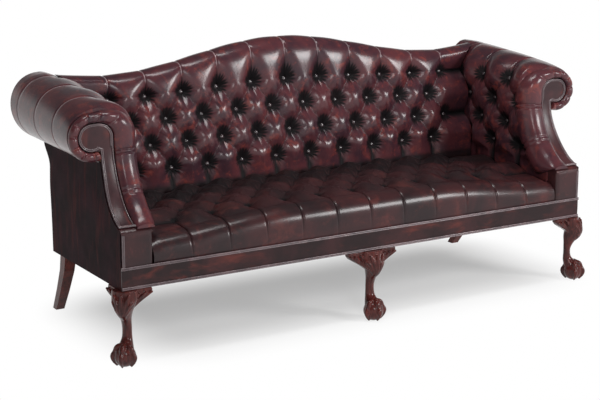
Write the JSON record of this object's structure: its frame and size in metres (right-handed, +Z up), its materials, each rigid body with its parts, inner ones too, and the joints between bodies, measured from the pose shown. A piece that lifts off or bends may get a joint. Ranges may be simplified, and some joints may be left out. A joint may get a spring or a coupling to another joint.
{
  "type": "camelback sofa",
  "caption": "Deep buttoned leather sofa with a humped back, rolled arms, a tight seat, cabriole legs with ball and claw feet at the front and raked square legs at the rear",
  "frame": {"origin": "middle of the sofa's bounding box in plan, on the floor under the feet", "axes": "+X along the length of the sofa, towards the right arm of a viewer who faces the seat; +Y from the front to the rear; +Z up"},
  "size_m": [2.1578, 0.7894, 0.9621],
  "materials": {
    "cover_leather": "glossy hand rubbed burgundy leather, darker in the folds",
    "welt_leather": "glossy dark burgundy piping",
    "frame_beech": "plain planed beech",
    "spring_steel": "bright drawn wire",
    "jute": "coarse woven jute",
    "cotton": "soft white cotton felt",
    "cambric": "thin black cambric",
    "leg_mahogany": "carved mahogany with a dark polished finish"
  },
  "bodies": {
    "root": {"tufted_back": "cover_leather", "tufted_seat": "cover_leather", "right_tufted_arm": "cover_leather", "left_tufted_arm": "cover_leather", "right_arm_facing": "cover_leather", "left_arm_facing": "cover_leather", "right_facing_welt": "welt_leather", "left_facing_welt": "welt_leather", "right_arm_band": "cover_leather", "left_arm_band": "cover_leather", "right_arm_base": "cover_leather", "left_arm_base": "cover_leather", "right_outside_arm": "cover_leather", "left_outside_arm": "cover_leather", "outside_back": "cover_leather", "crest_welt": "welt_leather", "front_border": "cover_leather", "top_border_welt": "welt_leather", "bottom_border_welt": "welt_leather", "front_seat_rail": "frame_beech", "back_seat_rail": "frame_beech", "right_side_rail": "frame_beech", "left_side_rail": "frame_beech", "right_stretcher": "frame_beech", "left_stretcher": "frame_beech", "right_front_corner_block": "frame_beech", "left_front_corner_block": "frame_beech", "right_rear_corner_block": "frame_beech", "left_rear_corner_block": "frame_beech", "camel_top_rail": "frame_beech", "right_back_post": "frame_beech", "left_back_post": "frame_beech", "back_tuck_rail": "frame_beech", "right_back_upright": "frame_beech", "left_back_upright": "frame_beech", "right_arm_front_post": "frame_beech", "left_arm_front_post": "frame_beech", "right_arm_rear_post": "frame_beech", "left_arm_rear_post": "frame_beech", "right_arm_top_rail": "frame_beech", "left_arm_top_rail": "frame_beech", "right_arm_tuck_rail": "frame_beech", "left_arm_tuck_rail": "frame_beech", "right_arm_burlap": "jute", "left_arm_burlap": "jute", "seat_springs": "spring_steel", "seat_burlap": "jute", "seat_pad": "cotton", "back_webbing": "jute", "back_pad": "cotton", "dust_cover": "cambric", "front_right_leg": "leg_mahogany", "front_left_leg": "leg_mahogany", "front_centre_leg": "leg_mahogany", "rear_right_leg": "leg_mahogany", "rear_left_leg": "leg_mahogany"}
  },
  "joints": []
}
